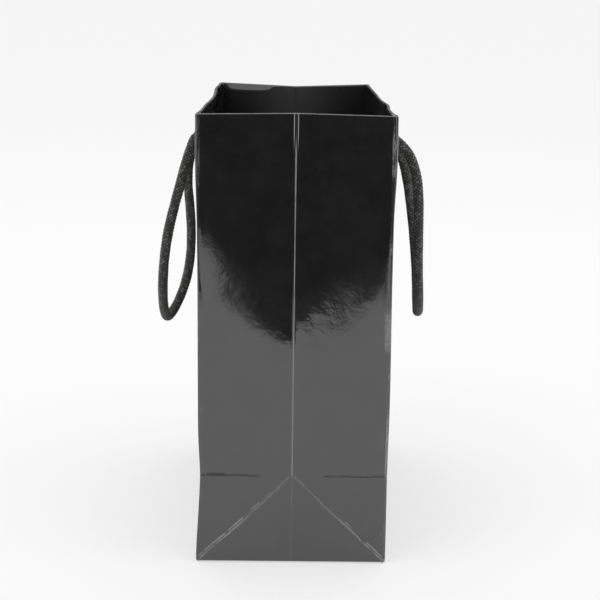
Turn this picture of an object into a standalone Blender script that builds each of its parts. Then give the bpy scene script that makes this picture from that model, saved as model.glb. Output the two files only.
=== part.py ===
"""Paper carrier bag with two rope handles, standing open.

Metres, +Z up. The origin is the middle of the base. X runs across the narrow
gussets, Y along the wide panels, and the gusset at -Y is the front one.

One folded sheet makes the walls, the turned-over hem and the glued base. Each
wide panel has a stiffening card inside its hem, and a loose board lies on the
base. Each rope handle leaves a wide panel through two punched holes and ends
in a knot behind each hole. A handle swings about the line through its holes.
"""

import math

import bmesh
import bpy
from mathutils import Vector

# ---- driving dimensions -------------------------------------------------
WIDTH = 0.140  # across a gusset, X
DEPTH = 0.250  # along a wide panel, Y
HEIGHT = 0.335
PAPER = 0.0006  # one ply of laminated paper
BASE = 0.0012  # glued base flaps
HEM = 0.040  # depth of the turned-over top
CARD = 0.0008  # stiffening card inside the hem
BOARD = 0.0015  # loose base board
GAP = 0.0003  # clearance between neighbouring pieces

FOLD_Z = WIDTH / 2  # the 45 degree base folds meet at this height
FRONT_IN = 0.083 * WIDTH  # how far each gusset's middle folds in at the rim
REAR_IN = 0.198 * WIDTH

ROPE_R = 0.0033
HOLE_R = 0.0038
HOLE_Y = 0.050  # holes at -HOLE_Y and +HOLE_Y
HOLE_Z = 0.310
PIVOT_X = 0.0750  # the swing axis of a handle runs along Y through here
PIVOT_Z = 0.3086
LEVELS = 8  # rings between the base fold and the hem

POCKET = CARD + 2 * GAP  # space for the card between the hem's two plies
SIDE_HEM = 2 * PAPER + POCKET
END_HEM = 2 * PAPER

# Route of each handle's middle line, from the front hole's pivot to the rear
# hole's: (distance from the middle plane, y, z) in millimetres.
ROUTE_RIGHT = (
    (75.0, -50.0, 308.6),
    (84.2, -50.0, 299.5),
    (89.5, -50.0, 288.0),
    (92.4, -50.0, 275.0),
    (94.0, -49.0, 258.0),
    (94.6, -46.5, 239.0),
    (95.4, -42.5, 220.0),
    (96.8, -36.5, 201.0),
    (98.4, -28.0, 184.0),
    (100.0, -15.5, 170.0),
    (101.0, 0.0, 164.0),
    (101.8, 15.5, 170.0),
    (102.0, 28.0, 184.0),
    (101.4, 36.5, 201.0),
    (99.7, 42.5, 220.0),
    (97.1, 46.5, 239.0),
    (93.7, 49.0, 258.0),
    (89.3, 50.0, 275.0),
    (84.8, 50.0, 288.0),
    (80.6, 50.0, 299.0),
    (75.0, 50.0, 308.6),
)
ROUTE_LEFT = (
    (75.0, -50.0, 308.6),
    (79.0, -50.0, 299.5),
    (82.6, -50.0, 288.0),
    (86.2, -50.0, 275.0),
    (91.0, -49.0, 258.0),
    (95.8, -46.5, 239.0),
    (99.3, -42.5, 220.0),
    (101.6, -36.5, 200.0),
    (102.8, -28.0, 181.0),
    (102.7, -15.5, 165.0),
    (100.8, 0.0, 157.6),
    (94.8, 15.5, 165.0),
    (88.8, 28.0, 181.0),
    (85.8, 36.5, 200.0),
    (85.4, 42.5, 220.0),
    (86.6, 46.5, 239.0),
    (88.2, 49.0, 258.0),
    (87.4, 50.0, 275.0),
    (83.6, 50.0, 288.0),
    (79.4, 50.0, 299.5),
    (75.0, 50.0, 308.6),
)
STATION = 0.013  # spacing of the tube's points, two rope diameters

PIECE_COLOURS = {
    "laminated_paper": ((0.012, 0.012, 0.012, 1.0), 0.22),
    "grey_card": ((0.42, 0.40, 0.37, 1.0), 0.85),
    "black_board": ((0.03, 0.03, 0.03, 1.0), 0.8),
    "braided_rope": ((0.02, 0.02, 0.019, 1.0), 0.9),
}


def clear_scene():
    for obj in list(bpy.data.objects):
        bpy.data.objects.remove(obj, do_unlink=True)


def material(name):
    found = bpy.data.materials.get(name)
    if found:
        return found
    colour, roughness = PIECE_COLOURS[name]
    made = bpy.data.materials.new(name)
    made.use_nodes = True
    shader = made.node_tree.nodes["Principled BSDF"]
    shader.inputs["Base Color"].default_value = colour
    shader.inputs["Roughness"].default_value = roughness
    shader.inputs["Metallic"].default_value = 0.0
    return made


def add_object(name, bm, slot):
    bm.normal_update()
    bmesh.ops.recalc_face_normals(bm, faces=bm.faces)
    mesh = bpy.data.meshes.new(name)
    bm.to_mesh(mesh)
    bm.free()
    mesh.materials.append(material(slot))
    obj = bpy.data.objects.new(name, mesh)
    bpy.context.scene.collection.objects.link(obj)
    return obj


def boolean(obj, operation, other, name):
    modifier = obj.modifiers.new(name, "BOOLEAN")
    modifier.operation = operation
    modifier.solver = "EXACT"
    modifier.object = other
    other.hide_render = True
    other.display_type = "WIRE"


# ---- the folded sheet ---------------------------------------------------
def fold_share(z):
    """0 at the top of the base folds, 1 at the rim."""
    return min(1.0, max(0.0, (z - FOLD_Z) / (HEIGHT - FOLD_Z)))


def half_widths(z):
    """Half the bag's width at its front and rear corners at height z.

    A gusset half keeps its width as its middle folds in, so the corners draw
    closer together.
    """
    share = fold_share(z)
    half = WIDTH / 2
    return (
        math.sqrt(half**2 - (FRONT_IN * share) ** 2),
        math.sqrt(half**2 - (REAR_IN * share) ** 2),
    )


def panel_x(y, z, offset):
    """Distance from the middle plane to a wide panel's face, offset inwards."""
    front, rear = half_widths(z)
    t = (y + DEPTH / 2) / DEPTH
    return front + (rear - front) * t - offset


def outline(z):
    """The outer outline at height z, six corners, anticlockwise from above."""
    front, rear = half_widths(z)
    share = fold_share(z)
    y0, y1 = -DEPTH / 2, DEPTH / 2
    return [
        (-front, y0),
        (0.0, y0 + FRONT_IN * share),
        (front, y0),
        (rear, y1),
        (0.0, y1 - REAR_IN * share),
        (-rear, y1),
    ]


def inset_outline(z, side, end):
    """The outline moved inwards: by side on the wide panels, end on gussets."""
    corners = [Vector(p) for p in outline(z)]
    offsets = [end, end, side, end, end, side]  # of the edge after each corner
    moved = []
    for i, corner in enumerate(corners):
        before = (corner - corners[i - 1]).normalized()
        after = (corners[(i + 1) % 6] - corner).normalized()
        n0, n1 = Vector((-before.y, before.x)), Vector((-after.y, after.x))
        d0, d1 = offsets[i - 1], offsets[i]
        cross = n0.x * n1.y - n0.y * n1.x
        if abs(cross) < 1e-9:
            moved.append(corner + n0 * d0)
            continue
        # the point at distance d0 from one edge and d1 from the other
        x = (d0 * n1.y - d1 * n0.y) / cross
        y = (d1 * n0.x - d0 * n1.x) / cross
        moved.append(corner + Vector((x, y)))
    return moved


def make_sheet():
    bm = bmesh.new()
    hem_z = HEIGHT - HEM
    walls = [FOLD_Z + (hem_z - FOLD_Z) * i / LEVELS for i in range(LEVELS + 1)]
    hems = [hem_z + HEM * i / 2 for i in range(3)]
    rings = [(0.0, 0.0, 0.0)]
    rings += [(z, 0.0, 0.0) for z in walls]
    rings += [(z, 0.0, 0.0) for z in hems[1:]]
    rings += [(z, SIDE_HEM, END_HEM) for z in reversed(hems)]
    rings += [(z, PAPER, PAPER) for z in reversed(walls)]
    rings += [(BASE, PAPER, PAPER)]
    loops = []
    for z, side, end in rings:
        points = inset_outline(z, side, end)
        loops.append([bm.verts.new((p[0], p[1], z)) for p in points])
    for low, high in zip(loops, loops[1:]):
        for i in range(6):
            j = (i + 1) % 6
            bm.faces.new((low[i], low[j], high[j], high[i]))
    bm.faces.new(list(reversed(loops[0])))
    bm.faces.new(loops[-1])
    return add_object("bag_sheet", bm, "laminated_paper")


def panel_slab(name, side, y_span, z_span, offsets, slot):
    """A slab that follows one wide panel: side is -1 or 1."""
    bm = bmesh.new()
    steps = 3
    loops = []
    for i in range(steps + 1):
        z = z_span[0] + (z_span[1] - z_span[0]) * i / steps
        loops.append(
            [
                bm.verts.new((side * panel_x(y, z, offset), y, z))
                for y, offset in (
                    (y_span[0], offsets[0]),
                    (y_span[0], offsets[1]),
                    (y_span[1], offsets[1]),
                    (y_span[1], offsets[0]),
                )
            ]
        )
    for low, high in zip(loops, loops[1:]):
        for i in range(4):
            j = (i + 1) % 4
            bm.faces.new((low[i], low[j], high[j], high[i]))
    bm.faces.new(loops[0])
    bm.faces.new(loops[-1])
    return add_object(name, bm, slot)


def make_hole_cutter(name, y):
    """A rod across both wide panels, for a pair of punched holes."""
    bm = bmesh.new()
    bmesh.ops.create_cone(
        bm, cap_ends=True, segments=24, radius1=HOLE_R, radius2=HOLE_R, depth=0.2
    )
    for vert in bm.verts:
        x, old_y, z = vert.co
        vert.co = (z, y + old_y, HOLE_Z - x)
    return add_object(name, bm, "grey_card")


def make_board():
    bm = bmesh.new()
    bmesh.ops.create_cube(bm, size=1.0)
    size = (WIDTH - 2 * PAPER - 0.003, DEPTH - 2 * PAPER - 0.003, BOARD)
    for vert in bm.verts:
        vert.co = (
            vert.co.x * size[0],
            vert.co.y * size[1],
            vert.co.z * size[2] + BASE + GAP + BOARD / 2,
        )
    uprights = [e for e in bm.edges if abs(e.verts[0].co.z - e.verts[1].co.z) > 1e-4]
    bmesh.ops.bevel(bm, geom=uprights, offset=0.003, segments=3, affect="EDGES")
    return add_object("base_board", bm, "black_board")


# ---- rope handles -------------------------------------------------------
def smooth_route(points, spacing):
    """Points evenly spaced along a Catmull-Rom curve through the route."""
    ends = [points[0] * 2 - points[1], *points, points[-1] * 2 - points[-2]]
    dense = []
    for i in range(1, len(ends) - 2):
        a, b, c, d = ends[i - 1 : i + 3]
        for k in range(24):
            t = k / 24
            dense.append(
                (
                    b * 2
                    + (c - a) * t
                    + (a * 2 - b * 5 + c * 4 - d) * t**2
                    + (b * 3 - a - c * 3 + d) * t**3
                )
                / 2
            )
    dense.append(points[-1])
    run = [0.0]
    for a, b in zip(dense, dense[1:]):
        run.append(run[-1] + (b - a).length)
    count = max(2, round(run[-1] / spacing))
    even, at = [], 0
    for i in range(count + 1):
        want = run[-1] * i / count
        while at < len(run) - 2 and run[at + 1] < want:
            at += 1
        t = (want - run[at]) / max(run[at + 1] - run[at], 1e-12)
        even.append(dense[at].lerp(dense[at + 1], t))
    return even


def make_handle(name, side, route):
    origin = Vector((side * PIVOT_X, 0.0, PIVOT_Z))
    points = [Vector((side * x, y, z)) / 1000 for x, y, z in route]
    curve = bpy.data.curves.new(name, "CURVE")
    curve.dimensions = "3D"
    curve.bevel_depth = ROPE_R
    curve.bevel_resolution = 3
    curve.use_fill_caps = True
    curve.resolution_u = 1
    stations = smooth_route(points, STATION)
    spline = curve.splines.new("POLY")
    spline.points.add(len(stations) - 1)
    for target, point in zip(spline.points, stations):
        target.co = (*(point - origin), 1.0)
    spline.use_smooth = True
    curve.materials.append(material("braided_rope"))
    obj = bpy.data.objects.new(name, curve)
    obj.location = origin  # on the swing axis
    bpy.context.scene.collection.objects.link(obj)
    return obj


def rod(bm, start, end, radius, segments=16):
    start, end = Vector(start), Vector(end)
    turn = (end - start).to_track_quat("Z", "Y").to_matrix().to_4x4()
    turn.translation = (start + end) / 2
    bmesh.ops.create_cone(
        bm,
        cap_ends=True,
        segments=segments,
        radius1=radius,
        radius2=radius,
        depth=(end - start).length,
        matrix=turn,
    )


def make_knot(name, side, y):
    """The rope's end: through the hole, a knot against the hem, a short tail."""
    outside = side * panel_x(y, HOLE_Z, 0.0)
    inside = side * panel_x(y, HOLE_Z, SIDE_HEM)
    middle = Vector((inside - side * 0.0066, y, HOLE_Z - 0.0010))
    bm = bmesh.new()
    bmesh.ops.create_uvsphere(bm, u_segments=18, v_segments=12, radius=1.0)
    for vert in bm.verts:
        vert.co = Vector(
            (vert.co.x * 0.0058, vert.co.y * 0.0076, vert.co.z * 0.0074)
        )
        vert.co += middle
    ball = add_object(name, bm, "braided_rope")
    bm = bmesh.new()
    rod(bm, (outside, y, HOLE_Z), (middle.x, y, HOLE_Z), ROPE_R)
    neck = add_object(name + "_neck_tool", bm, "braided_rope")
    bm = bmesh.new()
    tip = middle + Vector((-side * 0.0030, 0.0035 * (1 if y > 0 else -1), -0.0200))
    rod(bm, middle, tip, ROPE_R)
    tail = add_object(name + "_tail_tool", bm, "braided_rope")
    boolean(ball, "UNION", neck, "neck")
    boolean(ball, "UNION", tail, "tail")
    return ball


def main():
    clear_scene()
    sheet = make_sheet()
    holes = [make_hole_cutter(f"hole_tool_{i}", y) for i, y in enumerate((-HOLE_Y, HOLE_Y))]
    cards = []
    for side, word in ((-1, "left"), (1, "right")):
        pocket = panel_slab(
            f"pocket_tool_{word}",
            side,
            (-DEPTH / 2 + 0.006, DEPTH / 2 - 0.006),
            (HEIGHT - HEM - 0.002, HEIGHT - PAPER),
            (PAPER, PAPER + POCKET),
            "grey_card",
        )
        boolean(sheet, "DIFFERENCE", pocket, f"pocket_{word}")
        cards.append(
            panel_slab(
                f"rim_card_{word}",
                side,
                (-DEPTH / 2 + 0.0065, DEPTH / 2 - 0.0065),
                (HEIGHT - HEM + 0.001, HEIGHT - PAPER - 0.0005),
                (PAPER + GAP, PAPER + GAP + CARD),
                "grey_card",
            )
        )
    for piece in (sheet, *cards):
        for hole in holes:
            boolean(piece, "DIFFERENCE", hole, hole.name)
    make_board()
    for side, word, route in ((-1, "left", ROUTE_LEFT), (1, "right", ROUTE_RIGHT)):
        make_handle(f"rope_handle_{word}", side, route)
        for y, end in ((-HOLE_Y, "front"), (HOLE_Y, "rear")):
            make_knot(f"rope_knot_{word}_{end}", side, y)
    for obj in bpy.data.objects:
        if obj.type == "MESH" and obj.name.startswith("rope_knot"):
            obj.data.shade_smooth()


main()
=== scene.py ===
"""Looks of the paper carrier bag with two braided rope handles.

Metres, +Z up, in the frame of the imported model: X across the gussets, Y along
the wide panels, the front gusset at -Y. One folded laminated sheet makes the
walls, the turned-over hem and the glued base. Cards stiffen the hem, a board
lies on the base, and each rope handle ends in a knot behind each punched hole.
"""

import math

import bmesh
import bpy
import numpy as np
from mathutils import Matrix, Vector


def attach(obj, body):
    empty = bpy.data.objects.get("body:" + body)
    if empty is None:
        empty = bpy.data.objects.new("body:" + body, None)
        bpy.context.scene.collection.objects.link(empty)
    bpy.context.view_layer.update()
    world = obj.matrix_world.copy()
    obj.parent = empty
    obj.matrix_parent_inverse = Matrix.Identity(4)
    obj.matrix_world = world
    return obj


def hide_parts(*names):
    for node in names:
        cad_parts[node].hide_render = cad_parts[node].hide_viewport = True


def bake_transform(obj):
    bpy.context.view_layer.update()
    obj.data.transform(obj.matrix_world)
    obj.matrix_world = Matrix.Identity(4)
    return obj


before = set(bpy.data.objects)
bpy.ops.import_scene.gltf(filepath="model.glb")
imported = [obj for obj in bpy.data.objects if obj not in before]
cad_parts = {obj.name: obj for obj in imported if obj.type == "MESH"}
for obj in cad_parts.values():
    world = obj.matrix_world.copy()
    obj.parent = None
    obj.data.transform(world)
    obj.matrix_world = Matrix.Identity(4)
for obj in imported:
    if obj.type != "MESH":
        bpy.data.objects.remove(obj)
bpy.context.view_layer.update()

# ---- dimensions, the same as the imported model's --------------------------
MM = 0.001
WIDTH, DEPTH, HEIGHT = 140.0, 250.0, 335.0  # all in millimetres from here on
PAPER, HEM, CARD, GAP = 0.6, 40.0, 0.8, 0.3
FLOOR_TOP = 1.2
FOLD_Z = WIDTH / 2
FRONT_IN, REAR_IN = 0.083 * WIDTH, 0.198 * WIDTH
ROPE_R, HOLE_R, HOLE_Y, HOLE_Z = 3.3, 3.8, 50.0, 310.0
PIVOT_X, PIVOT_Z = 75.0, 308.6
SIDE_HEM = 2 * PAPER + CARD + 2 * GAP
END_HEM = 2 * PAPER
HEM_Z = HEIGHT - HEM
BASE_Z = 0.55  # underside of the folded end flaps, above the outermost flap

ROUTE_RIGHT = (
    (75.0, -50.0, 308.6),
    (84.2, -50.0, 299.5),
    (89.5, -50.0, 288.0),
    (92.4, -50.0, 275.0),
    (94.0, -49.0, 258.0),
    (94.6, -46.5, 239.0),
    (95.4, -42.5, 220.0),
    (96.8, -36.5, 201.0),
    (98.4, -28.0, 184.0),
    (100.0, -15.5, 170.0),
    (101.0, 0.0, 164.0),
    (101.8, 15.5, 170.0),
    (102.0, 28.0, 184.0),
    (101.4, 36.5, 201.0),
    (99.7, 42.5, 220.0),
    (97.4, 46.5, 239.0),
    (94.6, 49.0, 258.0),
    (90.6, 50.0, 275.0),
    (86.1, 50.0, 288.0),
    (81.4, 50.0, 299.0),
    (75.0, 50.0, 308.6),
)
ROUTE_LEFT = (
    (75.0, -50.0, 308.6),
    (79.0, -50.0, 299.5),
    (82.6, -50.0, 288.0),
    (86.2, -50.0, 275.0),
    (91.0, -49.0, 258.0),
    (95.8, -46.5, 239.0),
    (99.3, -42.5, 220.0),
    (101.6, -36.5, 200.0),
    (102.8, -28.0, 181.0),
    (102.7, -15.5, 165.0),
    (100.8, 0.0, 157.6),
    (94.8, 15.5, 165.0),
    (88.8, 28.0, 181.0),
    (85.8, 36.5, 200.0),
    (85.4, 42.5, 220.0),
    (86.6, 46.5, 239.0),
    (88.2, 49.0, 258.0),
    (87.4, 50.0, 275.0),
    (83.6, 50.0, 288.0),
    (79.4, 50.0, 299.5),
    (75.0, 50.0, 308.6),
)


# ---- small helpers -------------------------------------------------------
def smooth(a, b, x):
    """0 at a, 1 at b, eased at both ends. a may be above b."""
    t = np.clip((np.asarray(x, float) - a) / (b - a), 0.0, 1.0)
    return t * t * (3 - 2 * t)


def bell(x, width):
    return np.exp(-((np.asarray(x, float) / width) ** 2))


def mesh_object(name, verts, faces, materials=(), indices=None, angle=38.0):
    """verts in millimetres."""
    mesh = bpy.data.meshes.new(name)
    mesh.from_pydata((np.asarray(verts, float) * MM).tolist(), [], faces)
    for m in materials:
        mesh.materials.append(m)
    if indices is not None:
        mesh.polygons.foreach_set("material_index", np.asarray(indices, np.int32))
    mesh.validate()
    mesh.update()
    mesh.shade_smooth()
    mesh.set_sharp_from_angle(angle=math.radians(angle))
    obj = bpy.data.objects.new(name, mesh)
    bpy.context.scene.collection.objects.link(obj)
    return obj


def point_attribute(obj, name, values):
    attribute = obj.data.attributes.new(name, "FLOAT", "POINT")
    attribute.data.foreach_set("value", np.asarray(values, np.float32))


# ---- material nodes ------------------------------------------------------
class Nodes:
    """Short calls for building one material's nodes."""

    def __init__(self, name):
        self.material = bpy.data.materials.new(name)
        self.material.use_nodes = True
        self.tree = self.material.node_tree
        self.shader = self.tree.nodes["Principled BSDF"]
        self.coords = None

    def add(self, kind, **settings):
        node = self.tree.nodes.new(kind)
        for key, value in settings.items():
            setattr(node, key, value)
        return node

    def put(self, socket, value):
        if isinstance(value, bpy.types.NodeSocket):
            self.tree.links.new(value, socket)
        else:
            socket.default_value = value

    def position(self):
        if self.coords is None:
            self.coords = self.add("ShaderNodeTexCoord").outputs["Object"]
        return self.coords

    def axis(self, name):
        node = self.add("ShaderNodeSeparateXYZ")
        self.put(node.inputs[0], self.position())
        return node.outputs[name]

    def attribute(self, name):
        return self.add("ShaderNodeAttribute", attribute_name=name).outputs["Fac"]

    def math(self, operation, a, b=0.0, c=None, clamp=False):
        node = self.add("ShaderNodeMath", operation=operation, use_clamp=clamp)
        self.put(node.inputs[0], a)
        self.put(node.inputs[1], b)
        if c is not None:
            self.put(node.inputs[2], c)
        return node.outputs[0]

    def ramp(self, value, low, high, out_low=0.0, out_high=1.0):
        """out_low at low, out_high at high, eased. low may be above high."""
        node = self.add("ShaderNodeMapRange", interpolation_type="SMOOTHSTEP")
        self.put(node.inputs["Value"], value)
        if low > high:
            low, high, out_low, out_high = high, low, out_high, out_low
        node.inputs["From Min"].default_value = low
        node.inputs["From Max"].default_value = high
        node.inputs["To Min"].default_value = out_low
        node.inputs["To Max"].default_value = out_high
        return node.outputs["Result"]

    def noise(self, scale, detail=4.0, roughness=0.55, stretch=None, shift=0.0):
        node = self.add("ShaderNodeTexNoise")
        vector = self.position()
        if stretch is not None or shift:
            place = self.add("ShaderNodeMapping")
            self.put(place.inputs["Vector"], vector)
            place.inputs["Scale"].default_value = stretch or (1.0, 1.0, 1.0)
            place.inputs["Location"].default_value = (shift, shift * 0.7, shift * 0.3)
            vector = place.outputs[0]
        self.put(node.inputs["Vector"], vector)
        node.inputs["Scale"].default_value = scale
        node.inputs["Detail"].default_value = detail
        node.inputs["Roughness"].default_value = roughness
        return node.outputs["Fac"]

    def mix(self, share, a, b):
        """A colour between a and b; each is a colour or a socket."""
        node = self.add("ShaderNodeMix", data_type="RGBA")
        self.put(node.inputs["Factor"], share)
        self.put(node.inputs["A"], a)
        self.put(node.inputs["B"], b)
        return node.outputs["Result"]

    def blend(self, share, a, b):
        node = self.add("ShaderNodeMix", data_type="FLOAT")
        self.put(node.inputs["Factor"], share)
        self.put(node.inputs["A"], a)
        self.put(node.inputs["B"], b)
        return node.outputs["Result"]

    def bump(self, height, distance, strength=1.0, normal=None):
        node = self.add("ShaderNodeBump")
        node.inputs["Strength"].default_value = strength
        node.inputs["Distance"].default_value = distance
        self.put(node.inputs["Height"], height)
        if normal is not None:
            self.put(node.inputs["Normal"], normal)
        return node.outputs["Normal"]

    def set(self, **values):
        for key, value in values.items():
            self.put(self.shader.inputs[key.replace("_", " ")], value)
        return self.material


def grey(value, blue=1.0):
    return (value, value, value * blue, 1.0)


def laminate_material():
    """Black printed paper under a clear gloss film, worn white along its folds, with a painted
    highlight along the rim's fold and painted shade in a gaping crease.
    """
    n = Nodes("laminate_black")
    u = n.attribute("from_middle")  # distance from a gusset's middle fold, metres
    e = n.attribute("from_corner")  # distance from the nearest upright corner
    inside = n.attribute("inside")  # 1 on the hem's turned-in face
    z = n.axis("Z")
    patchy = n.noise(70.0, 5.0, 0.6)
    flecks = n.noise(420.0, 6.0, 0.7, shift=3.0)
    long_flecks = n.noise(55.0, 6.0, 0.75, stretch=(1.0, 1.0, 0.25), shift=7.0)

    lower = n.ramp(z, 0.0705, 0.0690)
    flat = n.ramp(z, 0.306, 0.322)
    centre = n.ramp(u, 0.00066, 0.00022)
    centre = n.math("MULTIPLY", centre, n.ramp(patchy, 0.25, 0.55, 0.42, 0.72))
    centre = n.math("MULTIPLY", centre, n.blend(lower, n.blend(flat, 1.0, 0.10), 0.18))
    # near the rim the fold is flattened, so it wears along two lines
    pair = n.math("ABSOLUTE", n.math("SUBTRACT", u, 0.0013))
    pair = n.math("MULTIPLY", n.ramp(pair, 0.00055, 0.00015), flat)
    centre = n.math("MAXIMUM", centre, pair)
    # the rear gusset has been handled less
    centre = n.math("MULTIPLY", centre, n.ramp(n.axis("Y"), 0.05, -0.05, 0.12, 1.0))

    wobble = n.math("MULTIPLY_ADD", n.noise(48.0, 3.0, 0.6, shift=9.0), 0.0036, -0.0018)
    slant = n.math("ADD", n.math("ADD", u, z), wobble)
    worse = n.ramp(n.axis("X"), 0.030, -0.030, 0.85, 1.0)
    first = n.math("ABSOLUTE", n.math("SUBTRACT", slant, 0.0702))
    second = n.math("ABSOLUTE", n.math("SUBTRACT", slant, 0.0728))
    soft = n.ramp(first, 0.0026, 0.0006, 0.0, 0.07)
    thin = n.ramp(first, 0.00090, 0.00025, 0.0, 0.44)
    thin = n.math("MULTIPLY", thin, n.ramp(flecks, 0.38, 0.62, 0.35, 1.0))
    soft = n.math("MAXIMUM", soft, thin)
    strong = n.ramp(first, 0.0012, 0.0003)
    strong = n.math("MULTIPLY", strong, n.ramp(long_flecks, 0.35, 0.52, 0.0, 0.72))
    double = n.ramp(second, 0.0011, 0.0003)
    double = n.math("MULTIPLY", double, n.ramp(patchy, 0.46, 0.58, 0.0, 0.8))
    strong = n.math("MAXIMUM", strong, double)
    strong = n.math("MULTIPLY", strong, n.ramp(u, 0.006, 0.055, 0.22, 1.0))
    diagonal = n.math("MULTIPLY", n.math("MAXIMUM", soft, strong), lower)
    diagonal = n.math("MULTIPLY", diagonal, worse)

    edge = n.ramp(e, 0.0012, 0.0002)
    handled = n.ramp(n.axis("X"), 0.0, 0.05, 0.6, 1.0)
    edge = n.math("MULTIPLY", edge, n.ramp(long_flecks, 0.48, 0.62, 0.05, 0.75))
    edge = n.math("MULTIPLY", edge, handled)
    foot = n.ramp(z, 0.0022, 0.0008)
    foot = n.math("MULTIPLY", foot, n.ramp(long_flecks, 0.54, 0.64, 0.0, 0.3))
    rubbed = n.ramp(e, 0.0075, 0.0015)
    rubbed = n.math("MULTIPLY", rubbed, n.ramp(flecks, 0.54, 0.66, 0.0, 0.45))
    rubbed = n.math("MULTIPLY", rubbed, handled)
    rubbed = n.math("MULTIPLY", rubbed, n.ramp(patchy, 0.52, 0.66))

    # a knocked place on the right front corner, about half way up
    knock = n.math("ABSOLUTE", n.math("SUBTRACT", z, 0.181))
    knock = n.math("MULTIPLY", n.ramp(knock, 0.019, 0.009), n.ramp(e, 0.0060, 0.0030))
    knock = n.math("MULTIPLY", knock, n.ramp(n.axis("X"), 0.05, 0.06))
    knock = n.math("MULTIPLY", knock, n.ramp(n.axis("Y"), -0.10, -0.11))
    knock = n.math("MULTIPLY", knock, n.ramp(flecks, 0.30, 0.62, 0.28, 0.62))
    rubbed = n.math("MAXIMUM", rubbed, knock)

    wear_and_rim_highlight = n.math("MAXIMUM", n.math("MAXIMUM", centre, diagonal), edge)
    wear_and_rim_highlight = n.math("MAXIMUM", wear_and_rim_highlight, n.math("MAXIMUM", foot, rubbed), clamp=True)
    wear_and_rim_highlight = n.math("MULTIPLY", wear_and_rim_highlight, n.math("SUBTRACT", 1.0, inside))
    # a light grey line along the rim's fold: partly wear, partly a painted highlight where the rounded
    # fold catches the light
    rim = n.ramp(z, 0.33435, 0.33480)
    rim = n.math("MULTIPLY", rim, n.ramp(long_flecks, 0.30, 0.60, 0.30, 0.62))
    wear_and_rim_highlight = n.math("MAXIMUM", wear_and_rim_highlight, rim)

    # the pressed crease at the height of the base folds: a dark line
    level = n.math("ABSOLUTE", n.math("SUBTRACT", z, 0.0698))
    pressed = n.ramp(level, 0.0010, 0.0004)
    pressed = n.math("MULTIPLY", pressed, n.ramp(e, 0.050, 0.040))
    pressed = n.math("MULTIPLY", pressed, n.ramp(long_flecks, 0.36, 0.44, 0.25, 1.0))
    # it gapes near the left corner; the colour there is darkened below as painted shade in the gap
    gape_with_painted_shade = n.math("ABSOLUTE", n.math("SUBTRACT", z, 0.0704))
    gape_with_painted_shade = n.math("MULTIPLY", n.ramp(gape_with_painted_shade, 0.0017, 0.0006), n.ramp(e, 0.0215, 0.0175))
    gape_with_painted_shade = n.math("MULTIPLY", gape_with_painted_shade, n.ramp(e, 0.0035, 0.0075))
    gape_with_painted_shade = n.math("MULTIPLY", gape_with_painted_shade, n.ramp(n.axis("X"), -0.04, -0.05))
    gape_with_painted_shade = n.math("MULTIPLY", gape_with_painted_shade, n.ramp(n.axis("Y"), -0.09, -0.10))
    pressed = n.math("MAXIMUM", pressed, gape_with_painted_shade)
    cracks = n.math("ABSOLUTE", n.math("SUBTRACT", slant, 0.0716))
    cracks = n.math("MULTIPLY", n.ramp(cracks, 0.0008, 0.0003), lower)
    cracks = n.math("MULTIPLY", cracks, n.ramp(patchy, 0.48, 0.42))
    cracks = n.math("MULTIPLY", cracks, n.ramp(u, 0.004, 0.020))
    pressed = n.math("MAXIMUM", pressed, n.math("MULTIPLY", cracks, 0.8))

    colour = n.mix(n.ramp(patchy, 0.3, 0.7), grey(0.0100), grey(0.0140))
    # the hem's turned-in face: a lighter grey towards the gusset's middle fold
    lint_and_inside_grey = n.ramp(u, 0.055, 0.005, 0.020, 0.052)
    inside_grey = n.add("ShaderNodeCombineXYZ")
    for socket in inside_grey.inputs:
        n.put(socket, lint_and_inside_grey)
    colour = n.mix(inside, colour, inside_grey.outputs[0])
    # painted shade: the gaping crease's colour darkened nearly to black
    colour = n.mix(n.math("MULTIPLY", gape_with_painted_shade, 0.8), colour, grey(0.003))
    # light grey for the wear, and for the painted highlight along the rim
    colour = n.mix(wear_and_rim_highlight, colour, grey(0.24, 0.98))
    rough = n.ramp(n.noise(35.0, 3.0, 0.5, shift=5.0), 0.3, 0.7, 0.050, 0.085)
    rough = n.blend(wear_and_rim_highlight, rough, 0.55)
    rough = n.blend(pressed, rough, 0.75)
    height = n.math("ADD", n.math("MULTIPLY", wear_and_rim_highlight, 0.5), n.math("MULTIPLY", pressed, -2.0))
    normal = n.bump(n.noise(95.0, 3.0, 0.5, shift=11.0), 0.00022, 0.24)
    normal = n.bump(n.noise(900.0, 2.0, 0.5), 0.00001, 0.5, normal)
    normal = n.bump(height, 0.00012, 0.8, normal)
    return n.set(
        Base_Color=colour, Roughness=rough, IOR=1.90, Normal=normal, Metallic=0.0
    )


def reverse_material():
    """The sheet's uncoated reverse: black fibre, matt."""
    n = Nodes("paper_reverse_black")
    fibres = n.noise(700.0, 5.0, 0.65, stretch=(1.0, 1.0, 0.35))
    cloud = n.noise(60.0, 4.0, 0.6, shift=2.0)
    colour = n.mix(n.ramp(cloud, 0.3, 0.7), grey(0.040), grey(0.060))
    colour = n.mix(n.ramp(fibres, 0.55, 0.75, 0.0, 0.35), colour, grey(0.095))
    normal = n.bump(fibres, 0.00005, 0.6)
    return n.set(
        Base_Color=colour,
        Roughness=n.ramp(cloud, 0.3, 0.7, 0.55, 0.70),
        IOR=1.5,
        Normal=normal,
    )


def card_material():
    """Grey recycled card: short fibres and specks."""
    n = Nodes("grey_card_fibre")
    fibres = n.noise(500.0, 6.0, 0.7, stretch=(1.0, 0.4, 1.0))
    specks = n.noise(1400.0, 2.0, 0.5, shift=4.0)
    colour = n.mix(n.ramp(fibres, 0.3, 0.7), (0.30, 0.285, 0.26, 1), (0.45, 0.43, 0.40, 1))
    colour = n.mix(n.ramp(specks, 0.70, 0.76, 0.0, 0.7), colour, (0.10, 0.095, 0.09, 1))
    return n.set(
        Base_Color=colour,
        Roughness=n.ramp(fibres, 0.3, 0.7, 0.82, 0.95),
        Normal=n.bump(fibres, 0.00008, 0.7),
    )


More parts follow.
